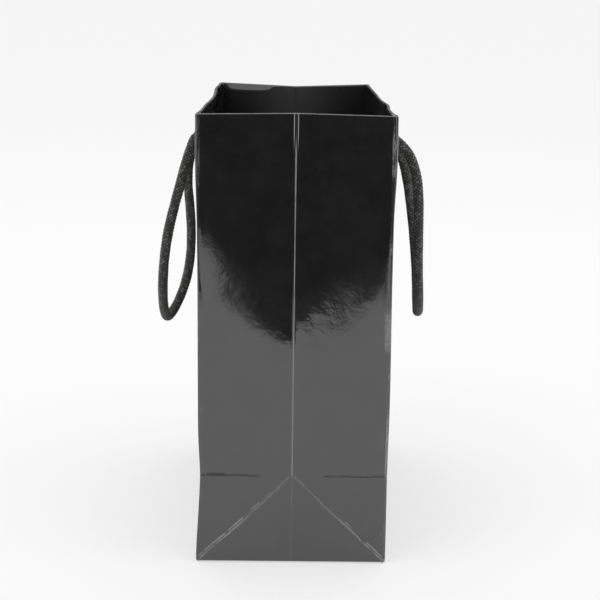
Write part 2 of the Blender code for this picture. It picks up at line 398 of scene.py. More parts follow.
def board_material():
    """Black paper-faced board, scuffed a little grey towards its edges."""
    n = Nodes("black_board_face")
    fibres = n.noise(620.0, 5.0, 0.65, stretch=(1.0, 0.3, 1.0))
    cloud = n.noise(28.0, 5.0, 0.6, shift=6.0)
    x = n.math("ABSOLUTE", n.axis("X"))
    y = n.math("ABSOLUTE", n.axis("Y"))
    rim = n.math("MAXIMUM", n.ramp(x, 0.0640, 0.0677), n.ramp(y, 0.1190, 0.1227))
    rim = n.math("MULTIPLY", rim, n.ramp(fibres, 0.45, 0.65, 0.15, 0.9))
    colour = n.mix(n.ramp(cloud, 0.3, 0.7), grey(0.014), grey(0.026))
    colour = n.mix(n.ramp(fibres, 0.52, 0.72, 0.0, 0.4), colour, grey(0.05))
    colour = n.mix(n.math("MULTIPLY", rim, 0.6), colour, grey(0.12))
    return n.set(
        Base_Color=colour,
        Roughness=n.ramp(cloud, 0.3, 0.7, 0.62, 0.8),
        Normal=n.bump(fibres, 0.00006, 0.8),
    )


def rope_material():
    """Spun yarn, near black, grey on the braid's crowns and painted nearly black in its grooves as
    painted shade, with loose fibre.
    """
    n = Nodes("rope_yarn_black")
    crown = n.attribute("crown")  # 0 in a groove of the braid, 1 on a crown
    tone = n.attribute("tone")  # each crossing of the braid has its own
    fluff = n.noise(2600.0, 4.0, 0.7)
    lint_and_inside_grey = n.noise(330.0, 5.0, 0.7, shift=2.0)
    # painted shade: the colour goes nearly black in the braid's grooves and grey on its crowns
    colour = n.mix(n.ramp(crown, 0.10, 0.95), grey(0.004), (0.066, 0.066, 0.060, 1))
    colour = n.mix(n.ramp(tone, 0.45, 1.0, 0.0, 0.85), colour, n.mix(crown, grey(0.012), grey(0.20)))
    lint = n.math("MULTIPLY", n.ramp(fluff, 0.53, 0.68), n.ramp(lint_and_inside_grey, 0.38, 0.62, 0.10, 0.80))
    lint = n.math("MULTIPLY", lint, n.ramp(crown, 0.25, 0.9, 0.15, 1.0))
    colour = n.mix(lint, colour, grey(0.24, 0.99))
    normal = n.bump(fluff, 0.00022, 0.9)
    material = n.set(
        Base_Color=colour,
        Roughness=n.ramp(lint_and_inside_grey, 0.3, 0.7, 0.80, 0.95),
        IOR=1.45,
        Normal=normal,
    )
    n.shader.inputs["Sheen Weight"].default_value = 0.35
    n.shader.inputs["Sheen Roughness"].default_value = 0.45
    n.shader.inputs["Sheen Tint"].default_value = (1.0, 1.0, 1.0, 1.0)
    n.shader.inputs["Specular IOR Level"].default_value = 0.25
    return material


LAMINATE = laminate_material()
REVERSE = reverse_material()
CARD_FACE = card_material()
BOARD_FACE = board_material()
YARN = rope_material()


# ---- camera, light and floor ---------------------------------------------
def make_camera():
    """Looks at the front gusset from a little above the rim."""
    down, roll, yaw = 0.2492301, 0.0145009, 0.0108697
    ahead = Vector(
        (math.sin(yaw) * math.cos(down), math.cos(yaw) * math.cos(down), -math.sin(down))
    )
    level = Vector((math.cos(yaw), -math.sin(yaw), 0.0))
    over = Vector(
        (math.sin(yaw) * math.sin(down), math.cos(yaw) * math.sin(down), math.cos(down))
    )
    right = level * math.cos(roll) + over * math.sin(roll)
    up = over * math.cos(roll) - level * math.sin(roll)
    data = bpy.data.cameras.new("camera")
    data.sensor_width = 36.0
    data.lens = 1320.34 / 600 * 36.0
    data.clip_start, data.clip_end = 0.05, 200.0
    camera = bpy.data.objects.new("camera", data)
    turn = Matrix((right, up, -ahead)).transposed().to_4x4()
    turn.translation = Vector((-0.0058239, -1.0371659, 0.4357846))
    camera.matrix_world = turn
    bpy.context.scene.collection.objects.link(camera)
    bpy.context.scene.camera = camera


def flat_stage(name, corners, material):
    """A flat sheet of the studio through these corners, in metres."""
    mesh = bpy.data.meshes.new(name)
    mesh.from_pydata(corners, [], [tuple(range(len(corners)))])
    mesh.materials.append(material)
    obj = bpy.data.objects.new(name, mesh)
    bpy.context.scene.collection.objects.link(obj)
    return obj


def gloss_only(obj):
    """Seen in the bag's gloss and nowhere else: it casts and blocks no light."""
    obj.visible_camera = False
    obj.visible_diffuse = False
    obj.visible_shadow = False
    obj.visible_transmission = False
    obj.visible_volume_scatter = False


def make_studio():
    scene = bpy.context.scene
    scene.view_settings.view_transform = "Standard"
    scene.view_settings.look = "None"
    scene.view_settings.exposure = 0.0
    scene.view_settings.gamma = 1.0
    world = bpy.data.worlds.new("studio")
    world.use_nodes = True
    back = world.node_tree.nodes["Background"]
    back.inputs["Color"].default_value = (1.0, 1.0, 1.0, 1.0)
    back.inputs["Strength"].default_value = 0.915
    scene.world = world

    pale = bpy.data.materials.new("studio_floor")
    pale.use_nodes = True
    shader = pale.node_tree.nodes["Principled BSDF"]
    shader.inputs["Base Color"].default_value = (0.42, 0.42, 0.42, 1.0)
    shader.inputs["Roughness"].default_value = 0.9
    shader.inputs["Specular IOR Level"].default_value = 0.0
    shader.inputs["Emission Color"].default_value = (1.0, 1.0, 1.0, 1.0)
    shader.inputs["Emission Strength"].default_value = 0.53
    far = 90.0
    flat_stage(
        "studio_floor",
        [(x, y, -0.0003) for x, y in ((-far, -far), (far, -far), (far, far), (-far, far))],
        pale,
    )

    black = bpy.data.materials.new("studio_black_card")
    black.use_nodes = True
    shader = black.node_tree.nodes["Principled BSDF"]
    shader.inputs["Base Color"].default_value = (0.004, 0.004, 0.004, 1.0)
    shader.inputs["Roughness"].default_value = 1.0
    shader.inputs["Specular IOR Level"].default_value = 0.0
    z, end, top = 0.002, -3.4, 1.35
    gloss_only(flat_stage(
        "studio_card_front",
        [(x, y, z) for x, y in (
            (-1.6, end), (1.6, end), (1.6, -0.95), (0.150, -0.950), (0.104, -0.960),
            (0.060, -0.965), (0.096, -1.103), (0.129, -1.255), (0.120, -1.385),
            (-0.002, -1.385), (-0.004, -1.190), (-0.022, -1.100), (-0.024, -0.924),
            (-0.050, -0.960), (-0.075, -1.026), (-0.089, -1.049), (-0.110, -1.084),
            (-1.6, -1.10),
        )],
        black,
    ))
    gloss_only(flat_stage(
        "studio_wall_front",
        [(-1.6, end, 0.0), (-1.6, end, top), (1.6, end, top), (1.6, end, 0.0)],
        black,
    ))
    # one card to each other side, so the gloss of every face reads alike
    for name, turn in (("right", 90), ("rear", 180), ("left", 270)):
        a = math.radians(turn)
        c, s = math.cos(a), math.sin(a)
        start = 0.84 if turn != 180 else 0.92
        flat = [(-0.26, -start - 0.05), (-1.0, end), (1.0, end), (0.26, -start - 0.14),
                (0.16, -start - 0.09), (0.05, -start), (-0.12, -start - 0.04)]
        gloss_only(flat_stage(
            f"studio_card_{name}",
            [(x * c - y * s, x * s + y * c, z) for x, y in flat],
            black,
        ))
        wall = [(-1.0, 0.0), (-1.0, top), (1.0, top), (1.0, 0.0)]
        gloss_only(flat_stage(
            f"studio_wall_{name}",
            [(x * c - end * s, x * s + end * c, h) for x, h in wall],
            black,
        ))

    for name, place, size, power in (
        ("key", (-1.2, -1.1, 1.9), 1.3, 6.5),
        ("fill", (1.5, -0.6, 1.7), 1.4, 3.6),
        ("top", (0.0, 0.5, 2.2), 1.6, 5.0),
    ):
        data = bpy.data.lights.new(name, "AREA")
        data.shape = "SQUARE"
        data.size = size
        data.energy = power
        light = bpy.data.objects.new(name, data)
        light.location = place
        aim = Vector((0.0, 0.0, 0.17)) - Vector(place)
        light.rotation_mode = "QUATERNION"
        light.rotation_quaternion = aim.to_track_quat("-Z", "Y")
        light.visible_glossy = False
        light.visible_camera = False
        bpy.context.scene.collection.objects.link(light)


# ---- the folded sheet ----------------------------------------------------
def fold_share(z):
    return min(1.0, max(0.0, (z - FOLD_Z) / (HEIGHT - FOLD_Z)))


def half_widths(z):
    share = fold_share(z)
    half = WIDTH / 2
    return (
        math.sqrt(half**2 - (FRONT_IN * share) ** 2),
        math.sqrt(half**2 - (REAR_IN * share) ** 2),
    )


def outline(z):
    """The walls' outer outline: six corners, anticlockwise from above. The
    walls draw in a little where the base folds cross them."""
    front, rear = half_widths(z)
    share = fold_share(z)
    y0, y1 = -DEPTH / 2, DEPTH / 2
    waist = math.exp(-(((z - FOLD_Z) / 34.0) ** 2))
    pinch = math.exp(-(((z - FOLD_Z) / 22.0) ** 2))
    left = 0.75 * smooth(290.0, 200.0, z) * smooth(0.0, 55.0, z) + 1.35 * pinch
    left = float(left - 1.2 * smooth(48.0, 0.0, z))
    right = float(0.40 * waist - 0.85 * smooth(230.0, 120.0, z))
    return np.array([
        (-front + left, y0),
        (0.0, y0 + FRONT_IN * share),
        (front - right, y0),
        (rear - 0.5 * waist, y1),
        (0.0, y1 - REAR_IN * share),
        (-rear + 0.5 * waist, y1),
    ])


def inset(corners, side, end):
    """Moved inwards: by side on the wide panels, end on the gussets."""
    offsets = (end, end, side, end, end, side)
    after = np.roll(corners, -1, axis=0) - corners
    after /= np.linalg.norm(after, axis=1)[:, None]
    moved = np.empty_like(corners)
    for i in range(6):
        b, a = after[i - 1], after[i]
        n0, n1 = np.array((-b[1], b[0])), np.array((-a[1], a[0]))
        d0, d1 = offsets[i - 1], offsets[i]
        cross = n0[0] * n1[1] - n0[1] * n1[0]
        if abs(cross) < 1e-9:
            moved[i] = corners[i] + n0 * d0
            continue
        moved[i] = corners[i] + np.array(
            ((d0 * n1[1] - d1 * n0[1]) / cross, (d1 * n0[0] - d0 * n1[0]) / cross)
        )
    return moved


def corner_reach(z):
    """How far each of the six folds' rounding reaches along its two faces. The
    stiffened hem rounds its corners more than the plain wall does."""
    hem = float(smooth(250.0, 302.0, z))
    return (
        1.0 + 0.8 * hem,
        1.0 + 0.5 * hem,
        1.7 + 0.4 * hem,
        1.3 + 0.5 * hem,
        1.1 + 0.3 * hem,
        1.3 + 0.5 * hem,
    )


ARC = 6  # segments in each rounding
HALF_STEPS = [1.8, 2.6, 3.8, 5.4] + [7.5 + 2.45 * i for i in range(23)] + [63.4, 65.2, 66.4]
BLOCK, RIM_K, CELL = 7, 4, 1.25  # the grid around a punched hole


def panel_stations():
    """Places along a wide panel, from its front to its rear corner."""
    near = [-HOLE_Y + CELL * i for i in range(-BLOCK, BLOCK + 1)]
    far = [-v for v in reversed(near)]
    lead = [-121.4, -120.0, -118.0, -115.5, -112.5]
    lead += [-109.0 + (near[0] - 2.5 + 109.0) * i / 15 for i in range(16)]
    middle = [near[-1] + (far[0] - near[-1]) * i / 24 for i in range(1, 24)]
    return lead + near + middle + far + [-v for v in reversed(lead)]


PANEL_STEPS = panel_stations()


def make_columns():
    """One entry per upright grid line, anticlockwise from the front left
    corner: (face or corner, share, from_middle, from_corner, signed place)."""
    columns = []
    for i in range(6):
        middle = i in (1, 4)
        for k in range(ARC + 1):
            columns.append(("fold", i, k / ARC, middle))
        if i in (0, 3):  # a half gusset, towards its middle
            for d in reversed(HALF_STEPS):
                columns.append(("edge", i, 1 - d / 70.0, d))
        elif i in (1, 4):
            for d in HALF_STEPS:
                columns.append(("edge", i, d / 70.0, d))
        elif i == 2:
            for y in PANEL_STEPS:
                columns.append(("edge", i, (y + 125.0) / 250.0, y))
        else:
            for y in reversed(PANEL_STEPS):
                columns.append(("edge", i, (125.0 - y) / 250.0, y))
    return columns


COLUMNS = make_columns()
COUNT = len(COLUMNS)
IS_FOLD = np.array([c[0] == "fold" for c in COLUMNS])
PLACE = np.array([c[1] for c in COLUMNS])
SHARE = np.array([c[2] for c in COLUMNS], float)
SPOT = np.array([float(c[3]) for c in COLUMNS])
# how much a column belongs to a wide panel rather than a gusset
SIDEWAYS = np.where(IS_FOLD, 0.0, np.isin(PLACE, (2, 5)).astype(float))
for corner, towards in ((0, 0), (2, 1), (3, 0), (5, 1)):
    chosen = IS_FOLD & (PLACE == corner)
    SIDEWAYS[chosen] = SHARE[chosen] if towards else 1.0 - SHARE[chosen]

RNG = np.random.default_rng(20)
RIPPLES = [
    (RNG.uniform(0.7, 1.0), RNG.uniform(-0.085, 0.085), RNG.uniform(0.015, 0.075),
     RNG.uniform(0, 2 * math.pi))
    for _ in range(7)
]


def ripple(u, z, seed):
    total = 0.0
    for i, (a, ku, kz, phase) in enumerate(RIPPLES):
        total = total + a * np.sin(ku * u * (1 + 0.13 * seed) + kz * z + phase + 1.7 * seed * (i + 1))
    return total / 3.2


def gusset_relief(u, z, rear):
    """How far a gusset's surface stands out, u from its middle fold."""
    a = np.abs(u)
    calm = smooth(0.0, 9.0, a) * smooth(70.0, 62.0, a)
    calm = calm * smooth(3.0, 16.0, z) * (0.25 + 0.75 * smooth(0.0, 9.0, np.abs(z - FOLD_Z)))
    out = 0.15 * ripple(u, z, 3.0 if rear else 0.0) * calm
    out = out + 0.20 * bell(u, 0.55) * (0.35 + 0.65 * smooth(60.0, 80.0, z))
    slant = (a + z - FOLD_Z) / math.sqrt(2)
    out = out + 0.16 * bell(slant, 1.3) * smooth(71.0, 68.0, z)
    pressed = bell(z - 69.8, 0.8) * smooth(18.0, 30.0, a) * smooth(69.5, 66.0, a)
    return out - 0.16 * pressed


def panel_relief(side, y, z):
    """How far a wide panel's surface stands out; side is -1 or 1."""
    t = (y + 125.0) / 250.0
    calm = np.sin(np.pi * np.clip(t, 0, 1)) ** 0.6
    calm = calm * smooth(3.0, 22.0, z) * (0.2 + 0.8 * smooth(0.0, 12.0, np.abs(z - FOLD_Z)))
    stiff = 1.0 - 0.72 * smooth(262.0, 300.0, z)
    out = 0.42 * ripple(y, z, 1.0 + side) * calm * stiff
    out = out + 1.3 * np.sin(np.pi * np.clip(t, 0, 1)) * np.sin(
        np.pi * np.clip((z - FOLD_Z) / 240.0, 0, 1)
    )
    rim = smooth(205.0, 330.0, z)
    if side < 0:
        out = out - 1.3 * bell(y + 8.0, 36.0) * rim * calm
        out = out + 2.1 * bell(y - 84.0, 34.0) * rim
    else:
        out = out + 2.0 * bell(y + 46.0, 20.0) * rim
    ahead, behind = np.clip(y + 125.0, 0, None), np.clip(125.0 - y, 0, None)
    hem = smooth(254.0, 304.0, z)
    front = 1.9 if side > 0 else 1.4
    out = out + front * (ahead / 5.0) * np.exp(1 - ahead / 5.0) * hem
    rear = 0.2 if side > 0 else 1.2
    out = out + rear * (behind / 5.0) * np.exp(1 - behind / 5.0) * hem
    # the card's lower edge and the inner ply's print through the outer ply
    print_through = smooth(5.0, 9.0, ahead) * smooth(5.0, 9.0, behind)
    out = out + 0.10 * (smooth(290.5, 299.5, z) - 0.5) * print_through * smooth(270.0, 290.0, z)
    return out - 0.22 * bell(z - 69.8, 0.8) * smooth(0.0, 2.5, ahead) * smooth(0.0, 2.5, behind)


def relief(z):
    """Outward shift of every column; z is one height, or one per column."""
    z = np.broadcast_to(np.asarray(z, float), (COUNT,))
    out = np.zeros(COUNT)
    for i in range(6):
        on = (~IS_FOLD) & (PLACE == i)
        if i in (0, 1):
            out[on] = gusset_relief(SPOT[on] * (-1 if i == 0 else 1), z[on], False)
        elif i in (3, 4):
            out[on] = gusset_relief(SPOT[on] * (1 if i == 3 else -1), z[on], True)
        else:
            out[on] = panel_relief(1 if i == 2 else -1, SPOT[on], z[on])
    for i, rear in ((1, False), (4, True)):
        on = IS_FOLD & (PLACE == i)
        out[on] = gusset_relief((SHARE[on] - 0.5) * 2.4, z[on], rear)
    for i, side, y in ((0, -1, -125), (2, 1, -125), (3, 1, 125), (5, -1, 125)):
        on = IS_FOLD & (PLACE == i)
        inward = SIDEWAYS[on]
        reach = 2.2
        out[on] = inward * panel_relief(side, y - math.copysign(reach, y) * inward, z[on])
    return out


def hem_slack(z):
    """How far the hem's inner ply hangs loose inwards, by the rear left rim."""
    u = np.where((~IS_FOLD) & (PLACE == 4), SPOT, 0.0)
    width = smooth(14.0, 34.0, u) * smooth(69.0, 63.0, u)
    drop = 1.0 - 0.35 * smooth(62.0, 25.0, u)
    return 1.8 * drop * width * smooth(334.6, 329.6, z) * smooth(296.0, 324.0, z)


def ring(z_outline, side, end, heights, shift=0.0):
    """The grid's points at one level: offset inwards, then shifted by relief."""
    corners = outline(z_outline)
    moved = inset(corners, side, end)
    after = np.roll(moved, -1, axis=0) - moved
    length = np.linalg.norm(after, axis=1)
    after = after / length[:, None]
    normal = np.stack([after[:, 1], -after[:, 0]], axis=1)  # outwards
    reach = corner_reach(z_outline)
    points = np.empty((COUNT, 2))
    outward = np.empty((COUNT, 2))
    for i in range(6):
        on = (~IS_FOLD) & (PLACE == i)
        points[on] = moved[i] + after[i] * (SHARE[on] * length[i])[:, None]
        outward[on] = normal[i]
        on = IS_FOLD & (PLACE == i)
        sharper = end if i in (1, 4) else max(side, end)
        t = max(reach[i] - 0.8 * sharper, 0.22)
        p0, p1, v = moved[i] - after[i - 1] * t, moved[i] + after[i] * t, moved[i]
        q = SHARE[on][:, None]
        points[on] = (1 - q) ** 2 * p0 + 2 * q * (1 - q) * v + q**2 * p1
        blended = (1 - q) * normal[i - 1] + q * normal[i]
        outward[on] = blended / np.linalg.norm(blended, axis=1)[:, None]
    points = points + outward * (relief(heights) - shift)[:, None]
    full = np.empty((COUNT, 3))
    full[:, :2] = points
    full[:, 2] = heights
    return full


def wall_levels():
    """Heights of the outer wall's grid lines, up to the hem's lower edge. Under
    the base folds they mirror a half gusset's columns, so the slanted folds
    run through grid points."""
    low = [70.0 - d for d in reversed(HALF_STEPS)] + [68.8, 69.3, 69.6, 70.0]
    low = [z for z in low if z > 2.2]
    high = [70.4, 70.8, 71.4, 72.4, 74.0] + [77.0 + 3.9 * i for i in range(55)]
    return low + high + [293.4, 294.4]


def hem_levels():
    rows = [295.0, 295.8, 296.6, 298.0, 299.6]
    rows += [HOLE_Z + CELL * i for i in range(-BLOCK, BLOCK + 1)]
    return rows + [320.6, 322.8, 325.0, 327.4, 329.6, 331.6, 332.8]


def make_sheet():
    points, kinds = [], []
    rows = []  # each ring's first index

    def put(full, kind):
        rows.append(len(points) * COUNT)
        points.append(full)
        kinds.append(kind)

    zeros = np.zeros(COUNT)
    foot = 1.7
    for i in range(5):
        phi = i / 4 * math.pi / 2
        z = BASE_Z + foot * (1 - math.cos(phi))
        put(ring(0.0, 0.0, 0.0, zeros + z, foot * (1 - math.sin(phi))), "outer")
    for z in wall_levels():
        put(ring(z, 0.0, 0.0, zeros + z), "outer")
    levels = hem_levels()
    at = {"A": len(points)}
    for z in levels:
        put(ring(z, 0.0, 0.0, zeros + z), "outer")
    # over the rim: a half turn as deep as the hem is thick
    half_side, half_end = SIDE_HEM / 2, END_HEM / 2
    half = half_end + (half_side - half_end) * SIDEWAYS
    fold = 6
    for i in range(fold + 1):
        phi = math.pi * i / fold
        side = half_side * (1 - math.cos(phi))
        end = half_end * (1 - math.cos(phi))
        put(ring(HEIGHT - 1, side, end, HEIGHT - half + half * math.sin(phi)), "outer")
    for z in reversed(levels):
        put(ring(z, SIDE_HEM, END_HEM, zeros + z, hem_slack(z)), "outer")
    at["D"] = len(points) - len(levels)
    inner_end = END_HEM / 2 + 0.03
    at["C"] = len(points)
    for z in levels:
        put(ring(z, SIDE_HEM - PAPER, inner_end, zeros + z, hem_slack(z)), "cut")
    tuck_side, tuck_end = (SIDE_HEM - 2 * PAPER) / 2, 0.03
    tuck = tuck_end + (tuck_side - tuck_end) * SIDEWAYS
    for i in range(1, 4):
        phi = math.pi * i / 4
        side = half_side + tuck_side * math.cos(phi)
        end = half_end + tuck_end * math.cos(phi)
        put(ring(HEIGHT - 1, side, end, HEIGHT - half + tuck * math.sin(phi)), "reverse")
    at["B"] = len(points)
    for z in reversed(levels):
        put(ring(z, PAPER, END_HEM / 2 - 0.03, zeros + z), "reverse")
    inner = [286.0 - 8.6 * i for i in range(24)] + [79.0, 74.0, 71.0, 70.0, 69.0, 66.0]
    inner += [58.0 - 9.0 * i for i in range(6)] + [5.0, FLOOR_TOP]
    for z in inner:
        put(ring(z, PAPER, PAPER, zeros + z), "reverse")

    vertices = np.concatenate(points)
    faces, indices = [], []
    index = np.arange(COUNT)
    after = np.roll(index, -1)
    holes = []  # (first column, levels' centre) of each punched hole
    columns_at = {}
    for c in range(COUNT):
        if not IS_FOLD[c] and PLACE[c] in (2, 5) and abs(abs(SPOT[c]) - HOLE_Y) < 1e-6:
            columns_at[(int(PLACE[c]), math.copysign(1, SPOT[c]))] = c
    level_of = levels.index(HOLE_Z)
    cut = {"A": set(), "B": set(), "C": set(), "D": set()}

    def row_of(sheet, level):
        """The ring of one of the hem's four faces at a level."""
        if sheet in ("A", "C"):
            return at[sheet] + level
        return at[sheet] + len(levels) - 1 - level

    offsets = {"A": 0.0, "B": PAPER, "C": SIDE_HEM - PAPER, "D": SIDE_HEM}
    bridges = []
    for (place, _), c0 in columns_at.items():
        side = 1 if place == 2 else -1
        step = 1 if place == 2 else -1  # the left panel's columns run rearwards first
        for sheet, offset in offsets.items():
            for i in range(-BLOCK, BLOCK + 1):
                for j in range(-BLOCK, BLOCK + 1):
                    k = max(abs(i), abs(j))
                    if k < RIM_K:
                        continue
                    angle = math.atan2(j, i)
                    t = (k - RIM_K) / (BLOCK - RIM_K)
                    y = SPOT[c0] + (1 - t) * HOLE_R * math.cos(angle) + t * i * CELL
                    z = HOLE_Z + (1 - t) * HOLE_R * math.sin(angle) + t * j * CELL
                    corners = outline(z)
                    a, b = (corners[2], corners[3]) if side > 0 else (corners[0], corners[5])
                    along = (b - a) / np.linalg.norm(b - a)
                    outward = np.array((along[1], -along[0])) * side
                    place_on = a + (b - a) * ((y + 125.0) / 250.0)
                    lift = float(panel_relief(side, np.array([y]), np.array([z]))[0])
                    xy = place_on + outward * (lift - offset)
                    row = row_of(sheet, level_of + j)
                    vertices[rows[row] + c0 + i * step] = (xy[0], xy[1], z)
            for i in range(-RIM_K, RIM_K):
                for j in range(-RIM_K, RIM_K):
                    left = c0 + (i if step > 0 else -i - 1)
                    low = level_of + j
                    row = row_of(sheet, low)
                    row = row if sheet in ("A", "C") else row - 1
                    cut[sheet].add((row, left))
        walk = [(RIM_K, j) for j in range(-RIM_K, RIM_K)]
        walk += [(-i, RIM_K) for i in range(-RIM_K, RIM_K)]
        walk += [(-RIM_K, -j) for j in range(-RIM_K, RIM_K)]
        walk += [(i, -RIM_K) for i in range(-RIM_K, RIM_K)]
        for outer, inner_face in (("A", "B"), ("C", "D")):
            for p, q in zip(walk, walk[1:] + walk[:1]):
                bridges.append([
                    rows[row_of(outer, level_of + p[1])] + c0 + p[0] * step,
                    rows[row_of(outer, level_of + q[1])] + c0 + q[0] * step,
                    rows[row_of(inner_face, level_of + q[1])] + c0 + q[0] * step,
                    rows[row_of(inner_face, level_of + p[1])] + c0 + p[0] * step,
                ])
                if step < 0:
                    bridges[-1].reverse()

    skipped = set().union(*cut.values())
    for r in range(len(rows) - 1):
        reverse = kinds[r] == "reverse" or kinds[r + 1] == "reverse"
        inside = 1 if (reverse or (kinds[r] == "cut" and kinds[r + 1] == "cut")) else 0
        low, high = rows[r], rows[r + 1]
        for c in range(COUNT):
            if (r, c) in skipped:
                continue
            d = after[c]
            faces.append((low + c, low + d, high + d, high + c))
            indices.append(inside)
    faces.extend(tuple(b) for b in bridges)
    indices.extend([1] * len(bridges))
    faces.append(tuple(reversed([rows[0] + int(c) for c in index])))
    indices.append(0)
    faces.append(tuple(rows[-1] + int(c) for c in index))
    indices.append(1)

    # drop the points inside the punched holes
    used = np.zeros(len(vertices), bool)
    for f in faces:
        used[list(f)] = True
    renumber = np.cumsum(used) - 1
    faces = [tuple(int(renumber[v]) for v in f) for f in faces]
    sheet = mesh_object("folded_sheet", vertices[used], faces, (LAMINATE, REVERSE), indices)

    middle = np.where(
        IS_FOLD,
        np.where(np.isin(PLACE, (1, 4)), np.abs(SHARE - 0.5) * 2.4, 70.0),
        np.where(np.isin(PLACE, (2, 5)), 900.0, SPOT),
    )
    corner = np.where(
        IS_FOLD,
        np.where(np.isin(PLACE, (1, 4)), 70.0, 0.0),
        np.where(np.isin(PLACE, (2, 5)), 125.0 - np.abs(SPOT), 70.0 - SPOT),
    )
    levels_all = len(rows)
    point_attribute(sheet, "from_middle", np.tile(middle, levels_all)[used] * MM)
    point_attribute(sheet, "from_corner", np.tile(corner, levels_all)[used] * MM)
    turned_in = np.zeros(levels_all)
    turned_in[at["D"] - 2 : at["D"] + len(levels)] = 1.0
    point_attribute(sheet, "inside", np.repeat(turned_in, COUNT)[used])
    return sheet


def slab(name, outline_points, low, high, materials, bevel=0.12):
    """A thin flat ply with eased edges, from its outline in millimetres."""
    pts = np.array(outline_points, float)
    centre = pts.mean(axis=0)
    rings = []
    for z, pull in ((low, bevel), (low + bevel, 0.0), (high - bevel, 0.0), (high, bevel)):
        away = pts - centre
        moved = pts - away / np.linalg.norm(away, axis=1)[:, None] * pull
        rings.append(np.column_stack([moved, np.full(len(pts), z)]))
    verts = np.concatenate(rings)
    n = len(pts)
    faces = []
    for r in range(3):
        for i in range(n):
            j = (i + 1) % n
            faces.append((r * n + i, r * n + j, (r + 1) * n + j, (r + 1) * n + i))
    faces.append(tuple(reversed(range(n))))
    faces.append(tuple(range(3 * n, 4 * n)))
    obj = mesh_object(name, verts, faces, materials, angle=25.0)
    count = len(obj.data.vertices)
    point_attribute(obj, "from_middle", np.full(count, 0.9))
    point_attribute(obj, "from_corner", np.full(count, 0.9))
    return obj


def make_base_flaps():
    """The glued underside: each wide panel's flap has slanted ends, and the
    right one is glued over the left one past the middle line."""
    left = [(-69.4, 124.0), (-69.4, -124.0), (-4.0, -58.6), (-4.0, 58.6)]
    right = [(69.4, -124.0), (69.4, 124.0), (-3.4, 51.2), (-12.0, 50.0), (-12.0, -50.0), (-3.4, -51.2)]
    lower = slab("base_flap_left", left, 0.28, 0.54, (LAMINATE,))
    upper = slab("base_flap_right", right, 0.0, 0.27, (LAMINATE,))
    return lower, upper


def make_card(side):
    """The stiffening card in a wide panel's hem: it bows with the panel."""
    name = "hem_card_left" if side < 0 else "hem_card_right"
    ys = np.linspace(-118.5, 118.5, 80)
    zs = np.linspace(HEM_Z + 1.0, HEIGHT - 2.1, 16)
    verts, faces = [], []
    for offset in (PAPER + GAP, PAPER + GAP + CARD):
        for z in zs:
            corners = outline(z)
            a, b = (corners[2], corners[3]) if side > 0 else (corners[0], corners[5])
            along = (b - a) / np.linalg.norm(b - a)
            outward = np.array((along[1], -along[0])) * side
            lift = panel_relief(side, ys, np.full(len(ys), z)) - offset
            xy = a + (b - a) * ((ys + 125.0) / 250.0)[:, None] + outward * lift[:, None]
            verts.append(np.column_stack([xy, np.full(len(ys), z)]))
    verts = np.concatenate(verts)
    n, m = len(ys), len(zs)
    hole = {}
    for sheet in range(2):
        for r in range(m - 1):
            for c in range(n - 1):
                i = sheet * n * m + r * n + c
                yc, zc = (ys[c] + ys[c + 1]) / 2, (zs[r] + zs[r + 1]) / 2
                if any(abs(yc - h) < 4.4 and abs(zc - HOLE_Z) < 4.4 for h in (-HOLE_Y, HOLE_Y)):
                    hole[(r, c)] = True
                    continue
                face = (i, i + 1, i + n + 1, i + n)
                faces.append(face if (sheet == 0) == (side > 0) else face[::-1])
    def wall(p, q):
        a, b = p, q
        face = (a, a + n * m, b + n * m, b)
        faces.append(face if side > 0 else face[::-1])
    for r in range(m - 1):
        wall(r * n, (r + 1) * n)
        wall((r + 1) * n + n - 1, r * n + n - 1)
    for c in range(n - 1):
        wall(c + 1, c)
        wall((m - 1) * n + c, (m - 1) * n + c + 1)
    for r, c in hole:
        i = r * n + c
        if (r, c - 1) not in hole:
            wall(i + n, i)
        if (r, c + 1) not in hole:
            wall(i + 1, i + n + 1)
        if (r - 1, c) not in hole:
            wall(i, i + 1)
        if (r + 1, c) not in hole:
            wall(i + n + 1, i + n)
    card = mesh_object(name, verts, faces, (CARD_FACE,))
    work = bmesh.new()
    work.from_mesh(card.data)
    bmesh.ops.recalc_face_normals(work, faces=work.faces)
    work.to_mesh(card.data)
    work.free()
    return card


def make_glue_tab():
    """The lap that closes the sheet: inside the left panel, by its rear corner."""
    verts, faces = [], []
    zs = [4.0, 20, 40, 60, 70, 80, 110, 140, 170, 200, 230, 260, 280, 294.4]
    for z in zs:
        corners = outline(z)
        a, b = corners[0], corners[5]
        along = (b - a) / np.linalg.norm(b - a)
        outward = -np.array((along[1], -along[0]))
        for y, offset in ((103.0, 0.62), (103.0, 1.15), (122.6, 1.15), (122.6, 0.62)):
            trim = 8.0 * (1 - min(1.0, (z - 4.0) / 10.0)) if y < 110 else 0.0
            yy = y + trim
            lift = float(panel_relief(-1, np.array([yy]), np.array([z]))[0]) - offset
            xy = a + (b - a) * ((yy + 125.0) / 250.0) + outward * lift
            verts.append((xy[0], xy[1], z))
    for r in range(len(zs) - 1):
        for i in range(4):
            j = (i + 1) % 4
            faces.append((4 * r + i, 4 * r + j, 4 * r + 4 + j, 4 * r + 4 + i))
    faces.append((3, 2, 1, 0))
    last = 4 * (len(zs) - 1)
    faces.append((last, last + 1, last + 2, last + 3))
    obj = mesh_object("glue_lap", verts, faces, (REVERSE,), angle=25.0)
    return obj


